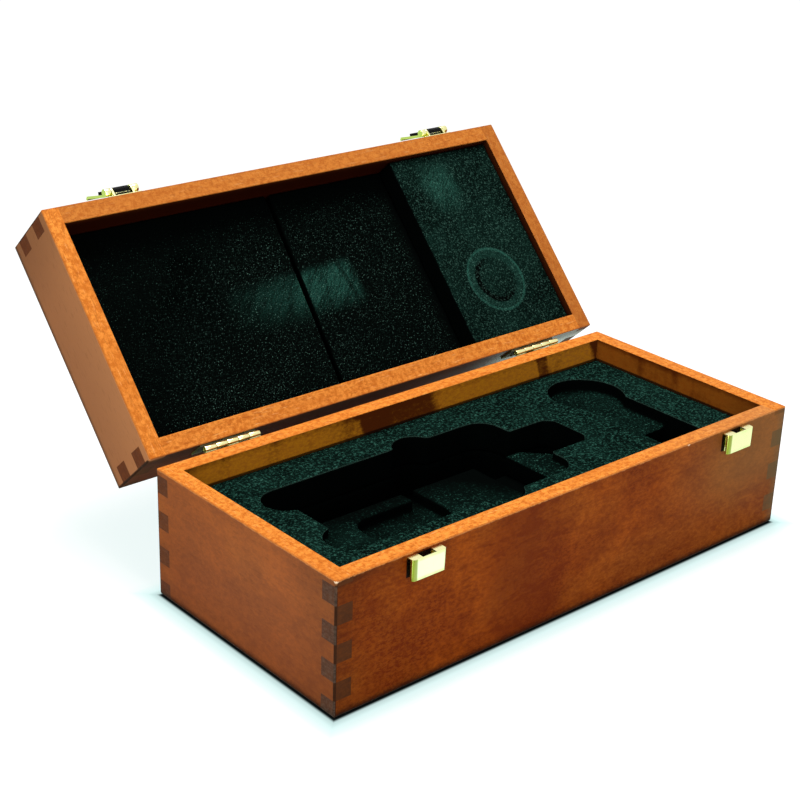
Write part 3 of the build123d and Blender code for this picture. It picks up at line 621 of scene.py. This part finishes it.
def base_foam_material(colours, sizes):
    """Foam of the base: dusty on top, with painted shade that leaves its walls and cut-outs black except where they
    lie open to the light, and painted highlights on its cut edges.
    """
    s = Shader("base_foam")
    point = s.place()
    x, y, z = s.split(point)
    nz = s.split(s.normal())[2]
    scale, cells, sparks, slow = foam_patterns(s, point, sizes)
    top = z.ramp(FOAM_TOP - 3.0 * MM, FOAM_TOP - 1.6 * MM)
    sunk = 1.0 - top
    dark_from = 12 * MM - x.ramp(-46 * MM, 5 * MM) * 38 * MM + (x > 22 * MM) * 110 * MM
    low = (dark_from + (slow - 0.5) * 14 * MM - y).ramp(0.0, 40 * MM)
    low = low * z.ramp(FOAM_TOP - 22.5 * MM, FOAM_TOP - 14 * MM)
    low = low * (1.0 - x.between(-46 * MM, 24 * MM, 6 * MM, 6 * MM) * 0.4)
    # Painted light and shade: the dusty tone shows only on upward faces near the top and where light falls into the
    # cut-outs
    lit = (top + low).least(1.0) * (0.02 + nz.ramp(0.35, 0.8) * 0.98)
    grit = s.noise(point, scale * 0.72, detail=2.0, roughness=0.7) - sunk * 0.055
    dust_where_lit = lit * (0.02 + grit.ramp(0.40, 0.70) ** 2.0 * 0.95 + slow.ramp(0.3, 0.75) * 0.10)
    colour = s.mix(dust_where_lit, colours.foam_dark, colours.foam_light)
    # Painted highlight on the rounded cut edges of the top
    cut_edge_highlight = top * (0.85 - nz).ramp(0.0, 0.3) * nz.ramp(0.25, 0.5)
    glint = grit.ramp(0.62, 0.76) * (0.34 + sunk * 0.5)
    colour = s.mix(lit * glint + cut_edge_highlight * 0.14, colour, colours.foam_speck)
    return foam_finish(s, colour, cells, sparks)


def lid_foam_material(colours, sizes):
    """Foam of the lid: nearly black thin pads with sparse specks, a dustier block at the right, and rubbed marks,
    with painted shade that keeps the specks off the pads near the front wall, beside the block and at the left, and
    keeps the foam's sides black.
    """
    s = Shader("lid_foam")
    point = s.place(on_lid=True)
    x, y = s.split(point)[:2]
    nz = s.split(s.normal(on_lid=True))[2]
    scale, cells, sparks, slow = foam_patterns(s, point, sizes)
    fine = s.noise(s.vector("MULTIPLY", point, (1.0, 0.65, 1.0)), scale * 2.1, detail=0.0, roughness=0.5)
    coarse = s.noise(point, scale * 0.9, detail=1.0, roughness=0.6)
    block = x > LID_BLOCK_LEFT
    # Painted shadow: specks fade near the front wall, beside the block and towards the left front
    pads = (y + 74 * MM).ramp(0.0, 34 * MM) * (LID_BLOCK_LEFT - x).ramp(2 * MM, 14 * MM)
    pads = pads * (0.35 + (x + 150 * MM + y * 0.8).ramp(0.0, 90 * MM) * 0.65)
    specks = fine.ramp(0.64, 0.80) * pads * (0.05 + slow.ramp(0.35, 0.65) * 0.16)
    specks = specks + fine.ramp(0.63, 0.72) * coarse.ramp(0.56, 0.68) * pads
    specks = specks + block * coarse.ramp(0.50, 0.74) ** 2.0 * (0.12 + fine.ramp(0.4, 0.7) * 0.35)
    haze = block * (0.02 + slow.ramp(0.3, 0.7) * 0.10 + coarse.ramp(0.44, 0.62) * 0.18)
    marks = lid_marks(s, x, y, slow, sparks) * (0.5 + fine.ramp(0.35, 0.65) * 0.6)
    # Painted shade: only faces that look out of the lid get tone and specks, so the sides stay black
    face = (0.0 - nz).ramp(0.3, 0.8)
    colour = s.mix((haze + marks) * face, colours.foam_dark, colours.foam_light)
    colour = s.mix(specks * face, colour, colours.foam_speck)
    return foam_finish(s, colour, cells, sparks)


def lid_marks(s, x, y, slow, sparks):
    """Pale rubbed places in the lid's foam, where the contents press: two bars, a ring and a smear, with a painted
    shade on one side of the ring's inner edge.
    """
    slanted = s.add("ShaderNodeCombineXYZ", None, [(x + y * 0.9) * 0.9, (y - x * 0.9) * 0.12, 0.0])
    streak = s.noise(slanted, 700.0, detail=3.0, roughness=0.7).ramp(0.40, 0.64)
    rubbed = s.noise(slanted, 110.0, detail=3.0, roughness=0.65).ramp(0.38, 0.60)
    wavy_x = x + (slow - 0.5) * 16 * MM
    wavy_y = y + (slow - 0.5) * 9 * MM

    def patch(left, right, front, back, ease_left, ease_right, ease_y):
        across = wavy_x.between(left * MM, right * MM, ease_left * MM, ease_right * MM)
        return across * wavy_y.between(front * MM, back * MM, ease_y * 0.6 * MM, ease_y * MM)

    long_bar = patch(*LONG_BAR) * (0.20 + streak * 0.26 + rubbed * 0.42)
    crease = abs(x - y * 0.15 - 19 * MM).fade(0.5 * MM, 3.5 * MM) * 0.65
    short_bar = patch(*SHORT_BAR) * (0.16 + streak * 0.72 + rubbed * 0.40) * (1.0 - crease)
    smear = patch(*SMEAR) * (0.30 + streak * 0.75)

    from_x = x - RING_PLACE[0]
    from_y = y - RING_PLACE[1]
    radius = (from_x * from_x + from_y * from_y) ** 0.5 + (sparks - 0.5) * 1.2 * MM
    line = abs(radius - RING_OUTER).fade(0.2 * MM, 1.6 * MM) * 1.3
    within = radius.between(RING_INNER, 27 * MM, 3 * MM, 3 * MM) * 0.30
    ring = line * (0.4 + slow.ramp(0.3, 0.7) * 0.6) + within
    # Painted shade on one side of the ring's inner edge
    groove = abs(radius - RING_INNER).fade(0.5 * MM, 3 * MM)
    groove = groove * (from_x * -30.0 + from_y * 14.0 + 0.35).ramp(0.0, 1.0)
    return (long_bar + short_bar + smear + ring) * (0.45 + sparks.ramp(0.40, 0.66) * 0.8) - groove * 0.5


def brass_material(colours, keepers):
    """Bright drawn brass with faint handling marks, painted greener reflections on its sides and the keepers' left
    bends, hinge leaves painted dark and dull as shade, and painted glare on the keepers' fronts.
    """
    s = Shader("polished_brass")
    point = s.place()
    smears = s.noise(point, 160.0, detail=3.0, roughness=0.6)
    scratches = s.noise(s.vector("MULTIPLY", point, (0.25, 1.0, 1.0)), 2200.0, detail=2.0, roughness=0.6)
    colour = s.mix(smears.ramp(0.35, 0.75) * 0.5, colours.brass, colours.brass_dark)
    x, y, z = s.split(point)
    nx, ny, nz = s.split(s.normal())
    # Painted reflection, greener on faces that look along the case
    side = abs(nx).ramp(0.30, 0.85) * abs(nz).fade(0.4, 0.7)
    colour = s.mix(side * 0.75, colour, BRASS_SIDE_REFLECTION)
    # Painted shade: the hinge leaves near black, dull and hardly metallic
    from_pin = ((y - LID_PIN.y) ** 2.0 + (z - LID_PIN.z) ** 2.0) ** 0.5
    leaf = from_pin.ramp(2.1 * MM, 2.5 * MM) * from_pin.fade(9 * MM, 30 * MM)
    colour = s.mix(leaf * 0.92, colour, LEAF_SHADE)
    # Painted glare: the keepers' fronts nearly white
    for (low, high), pale in zip(keepers, (KEEPER_LEFT_GLARE, KEEPER_RIGHT_GLARE)):
        front = (ny < -0.5) * (x > low.x - MM) * (x < high.x + MM) * (z < high.z)
        inset = (x - low.x).least(high.x - x).least(z - low.z).least(high.z - z)
        colour = s.mix(front * inset.ramp(0.6 * MM, 2.4 * MM) * 0.85, colour, pale)
        # Painted reflection on the keeper's left bend
        colour = s.mix(front * (x - low.x).fade(2.4 * MM, 3.8 * MM) * 0.85, colour, KEEPER_BEND_REFLECTION)
    rough = 0.14 + smears * 0.16 + scratches.ramp(0.62, 0.8) * 0.15 + leaf * 0.4
    normal = s.bump(scratches, 0.01 * MM, 0.35)
    return s.finish(Base_Color=colour, Metallic=1.0 - leaf * 0.85, Roughness=rough, Normal=normal)


def black_steel_material():
    """Blackened spring steel, faintly rubbed, with a painted highlight where it faces the front."""
    s = Shader("blackened_steel")
    rub = s.noise(s.place(), 900.0, detail=3.0, roughness=0.6)
    colour = s.mix(rub.ramp(0.55, 0.8) * 0.4, STEEL, RUBBED_STEEL)
    ny, nz = s.split(s.normal())[1:]
    # Painted highlight where the steel faces the front and slightly down
    bright = (ny * -0.98 - nz * 0.19).ramp(0.955, 0.985)
    colour = s.mix(bright, colour, STEEL_HIGHLIGHT)
    return s.finish(Base_Color=colour, Metallic=0.9, Roughness=0.34 + rub * 0.2)


# Helpers for the modelled pieces

def only(piece):
    """Select one object and nothing else."""
    bpy.ops.object.select_all(action="DESELECT")
    piece.select_set(True)
    bpy.context.view_layer.objects.active = piece


def dress(mesh, material):
    """Give a mesh its one finish."""
    mesh.materials.clear()
    mesh.materials.append(material)


def round_edges(node, width):
    """Weld a CAD node's facets and round its edges, in modifiers that leave its own mesh alone."""
    piece = frame["nodes"][node]
    weld = piece.modifiers.new("weld", "WELD")
    weld.merge_threshold = WELD_REACH
    bevel = piece.modifiers.new("edge", "BEVEL")
    bevel.width = width
    bevel.segments = 2
    bevel.limit_method = "ANGLE"
    bevel.angle_limit = SHARP_EDGE
    bevel.harden_normals = True


def node_box(node):
    """Low and high corners of a CAD node."""
    places = [vertex.co for vertex in frame["nodes"][node].data.vertices]
    return [Vector(pick(place[axis] for place in places) for axis in range(3)) for pick in (min, max)]


def keeper_boxes():
    return [node_box(f"latch_{side}_keeper") for side in SIDES]


def coil(node, name, body, material, wire):
    """Close-wound spring in place of a plain sleeve."""
    low, high = node_box(node)
    middle = (low + high) / 2
    radius = (high.z - low.z) / 2 - wire
    length = high.x - low.x - 2 * wire
    count = round(length / (COIL_PITCH * wire)) * COIL_STEPS
    curve = bpy.data.curves.new(name, "CURVE")
    curve.dimensions = "3D"
    curve.bevel_depth = wire
    curve.bevel_resolution = 3
    curve.use_fill_caps = True
    line = curve.splines.new("POLY")
    line.points.add(count)
    for step, point in enumerate(line.points):
        angle = 2 * pi * step / COIL_STEPS
        along = middle.x - length / 2 + length * step / count
        point.co = (along, middle.y + radius * cos(angle), middle.z + radius * sin(angle), 1.0)
    piece = bpy.data.objects.new(name, curve)
    bpy.context.scene.collection.objects.link(piece)
    only(piece)
    bpy.ops.object.convert(target="MESH")
    piece = bpy.context.active_object
    dress(piece.data, material)
    bpy.ops.object.shade_smooth()
    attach(piece, body)
    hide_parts(node)


def foam_mesh(node, name, body, material, sizes, shift=None):
    """Soft foam over a plain foam solid: remeshed, eased along its cut edges and made slightly uneven."""
    piece = bpy.data.objects.new(name, frame["nodes"][node].data.copy())
    bpy.context.scene.collection.objects.link(piece)
    only(piece)
    bpy.ops.object.mode_set(mode="EDIT")
    bpy.ops.mesh.select_all(action="SELECT")
    bpy.ops.mesh.remove_doubles(threshold=0.01 * MM)
    bpy.ops.mesh.normals_make_consistent(inside=False)
    bpy.ops.object.mode_set(mode="OBJECT")
    remesh = piece.modifiers.new("cells", "REMESH")
    remesh.mode = "VOXEL"
    remesh.voxel_size = sizes.foam_grid * FOAM_COARSENESS
    bpy.ops.object.modifier_apply(modifier="cells")
    if shift is not None:
        for vertex in piece.data.vertices:
            vertex.co += shift(vertex.co)
    for label, size, height in (
            ("waves", FOAM_WAVE, sizes.foam_bump), ("grain", FOAM_GRAIN, FOAM_GRAIN_HEIGHT)):
        texture = bpy.data.textures.new(f"{name}_{label}", "CLOUDS")
        texture.noise_scale = size
        texture.noise_depth = 1
        displace = piece.modifiers.new(label, "DISPLACE")
        displace.texture = texture
        displace.texture_coords = "LOCAL"
        displace.strength = height
        displace.mid_level = 0.9
        bpy.ops.object.modifier_apply(modifier=label)
    dress(piece.data, material)
    bpy.ops.object.shade_smooth()
    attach(piece, body)
    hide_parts(node)


def skewed_seam(point):
    """How far to shift foam beside the seam of the lid's thin pads, because the seam was cut a little askew."""
    shut = Matrix.Rotation(LID_SWING, 3, "X") @ (Vector(point) - LID_PIN) + LID_PIN
    near = max(0.0, 1.0 - abs(shut.x - PAD_SEAM) / SEAM_REACH)
    shift = SEAM_SHIFT - SEAM_SLOPE * shut.y
    return Vector((shift * near * near * (3.0 - 2.0 * near), 0.0, 0.0))


# Operators

class CASE_OT_stain_boards(bpy.types.Operator):
    """Stain the boards and panels, with the grain along each board"""
    bl_idname = "mic_case.stain_boards"
    bl_label = "Stain the boards"

    def execute(self, context):
        for node in BOARDS:
            keepers = keeper_boxes() if node == "base_front_board" else ()
            wood = StainedWood(node, context.scene.case_colours)
            dress(frame["nodes"][node].data, wood.material(keepers))
        return {"FINISHED"}


class CASE_OT_fill_base(bpy.types.Operator):
    """Model the three foam layers in the base"""
    bl_idname = "mic_case.fill_base"
    bl_label = "Fill the base with foam"

    def execute(self, context):
        sizes = context.scene.case_sizes
        material = base_foam_material(context.scene.case_colours, sizes)
        for layer in ("top", "middle", "floor"):
            foam_mesh(f"base_foam_{layer}", f"cut_foam_{layer}", "base", material, sizes)
        return {"FINISHED"}


class CASE_OT_fill_lid(bpy.types.Operator):
    """Model the foam pads in the lid"""
    bl_idname = "mic_case.fill_lid"
    bl_label = "Fill the lid with foam"

    def execute(self, context):
        sizes = context.scene.case_sizes
        material = lid_foam_material(context.scene.case_colours, sizes)
        for layer, shift in (
                ("backing", None), ("left_pad", skewed_seam), ("middle_pad", skewed_seam), ("right_block", None)):
            foam_mesh(f"lid_foam_{layer}", f"soft_lid_{layer}", "lid", material, sizes, shift)
        return {"FINISHED"}


class CASE_OT_polish_hardware(bpy.types.Operator):
    """Polish the hinges and latches, ease the edges of their sheet and wind the springs"""
    bl_idname = "mic_case.polish_hardware"
    bl_label = "Polish the hardware"

    def execute(self, context):
        sizes = context.scene.case_sizes
        brass = brass_material(context.scene.case_colours, keeper_boxes())
        black = black_steel_material()
        for node in frame["nodes"]:
            if not node.startswith(("hinge_", "latch_", "keeper_")):
                continue
            dark = node.endswith(("_catch", "_spring"))
            dress(frame["nodes"][node].data, black if dark else brass)
            if node.endswith(("_keeper", "_plate", "_flap", "_leaf")):
                round_edges(node, sizes.sheet_edge)
        for side in SIDES:
            coil(f"latch_{side}_spring", f"{side}_coil", "lid", black, sizes.spring_wire)
        return {"FINISHED"}


class CASE_OT_set_stage(bpy.types.Operator):
    """Lay the white floor, light it softly and place the camera"""
    bl_idname = "mic_case.set_stage"
    bl_label = "Set the stage"

    def execute(self, context):
        bpy.ops.object.select_all(action="DESELECT")
        bpy.ops.mesh.primitive_plane_add(size=FLOOR_SIZE, location=(0, 0, 0))
        floor = context.active_object
        floor.name = "floor"
        floor.data.materials.append(self.floor_material())
        for name, (place, size, power) in LAMPS.items():
            self.lamp(context, name, Vector(place), size, power)
        self.world(context)
        self.camera(context)
        return {"FINISHED"}

    @staticmethod
    def floor_material():
        """White floor with a soft shadow and a dark line of contact, both partly painted, a greenish bounce, and
        painted shade in the bounce behind the case.
        """
        s = Shader("white_floor")
        camera_ray = s.ray("Is Camera Ray")
        diffuse_ray = s.ray("Is Diffuse Ray")
        x, y = s.split(s.place())[:2]
        far = ((x * x + y * y) ** 0.5).ramp(0.30, 0.9)
        # Painted shade in the bounce behind the case, strongest at the left
        shade_behind = (y > 0.12) * x.fade(-0.02, 0.30) * 0.9
        bounce = s.mix(diffuse_ray, FLOOR_MIRRORED, FLOOR_BOUNCE)
        bounce = s.mix(shade_behind * diffuse_ray, bounce, FLOOR_BEHIND_SHADE)
        outside = (abs(x) - HALF_LENGTH).most(abs(y) - HALF_DEPTH)
        clear = outside.ramp(-0.4 * MM, 2.0 * MM) * 0.72 + outside.ramp(0.5 * MM, 7 * MM) * 0.28
        shadow = s.mix(outside.ramp(3 * MM, 20 * MM), NEAR_SHADOW, FAR_SHADOW)
        # Painted dark line of contact under the case's edges
        shadow = s.mix(clear, CONTACT_SHADE, shadow)
        s.finish(Base_Color=s.mix(camera_ray, bounce, shadow), Roughness=0.9, Specular_IOR_Level=0.0)
        glow = s.mix(far, NEAR_GLOW, FAR_GLOW)
        white = s.add("ShaderNodeEmission", None, {"Color": glow, "Strength": 1.0})
        lit = s.add("ShaderNodeMixShader", None, {
            0: camera_ray * (0.60 + far * 0.40) * clear, 1: s.surface.outputs[0], 2: white})
        s.feed(s.tree.nodes["Material Output"].inputs["Surface"], lit)
        return s.material

    @staticmethod
    def lamp(context, name, place, size, power):
        data = bpy.data.lights.new(name, "AREA")
        data.size = size
        data.energy = power
        lamp = bpy.data.objects.new(name, data)
        lamp.location = place
        lamp.rotation_euler = (LAMP_AIM - place).to_track_quat("-Z", "Y").to_euler()
        context.scene.collection.objects.link(lamp)

    @staticmethod
    def world(context):
        """A dim pale room that looks white to the camera and in the brass."""
        world = bpy.data.worlds.new("studio")
        context.scene.world = world
        room = NodeTree(world)
        seen = room.ray("Is Camera Ray").most(room.ray("Is Transmission Ray").most(room.ray("Is Glossy Ray")))
        dim = room.tree.nodes["Background"]
        room.feed(dim.inputs["Color"], ROOM)
        room.feed(dim.inputs["Strength"], ROOM_STRENGTH)
        bright = room.add("ShaderNodeBackground", None, {"Color": WHITE})
        both = room.add("ShaderNodeMixShader", None, {0: seen, 1: dim.outputs[0], 2: bright})
        room.feed(room.tree.nodes["World Output"].inputs["Surface"], both)

    @staticmethod
    def camera(context):
        data = bpy.data.cameras.new("camera")
        data.sensor_width = CAMERA_SENSOR
        data.lens = CAMERA_LENS
        camera = bpy.data.objects.new("camera", data)
        camera.location = CAMERA_PLACE
        camera.rotation_euler = CAMERA_TURN
        context.scene.collection.objects.link(camera)
        context.scene.camera = camera
        context.scene.view_settings.view_transform = "Standard"


class CASE_PT_sidebar(bpy.types.Panel):
    bl_idname = "CASE_PT_sidebar"
    bl_label = "Microphone case"
    bl_space_type = "VIEW_3D"
    bl_region_type = "UI"
    bl_category = "Case"

    def draw(self, context):
        for group in (context.scene.case_sizes, context.scene.case_colours):
            for key in group.bl_rna.properties.keys():
                if key not in ("rna_type", "name"):
                    self.layout.prop(group, key)
        for step in STEPS:
            self.layout.operator(step.bl_idname)


STEPS = (CASE_OT_set_stage, CASE_OT_stain_boards, CASE_OT_fill_base, CASE_OT_fill_lid, CASE_OT_polish_hardware)
CLASSES = (CaseSizes, CaseColours, *STEPS, CASE_PT_sidebar)


def register():
    for item in CLASSES:
        bpy.utils.register_class(item)
    bpy.types.Scene.case_sizes = PointerProperty(type=CaseSizes)
    bpy.types.Scene.case_colours = PointerProperty(type=CaseColours)


def unregister():
    del bpy.types.Scene.case_colours
    del bpy.types.Scene.case_sizes
    for item in reversed(CLASSES):
        bpy.utils.unregister_class(item)


def main():
    """Dress the whole case."""
    register()
    for step in STEPS:
        group, name = step.bl_idname.split(".")
        getattr(getattr(bpy.ops, group), name)()


if __name__ == "__main__":
    main()
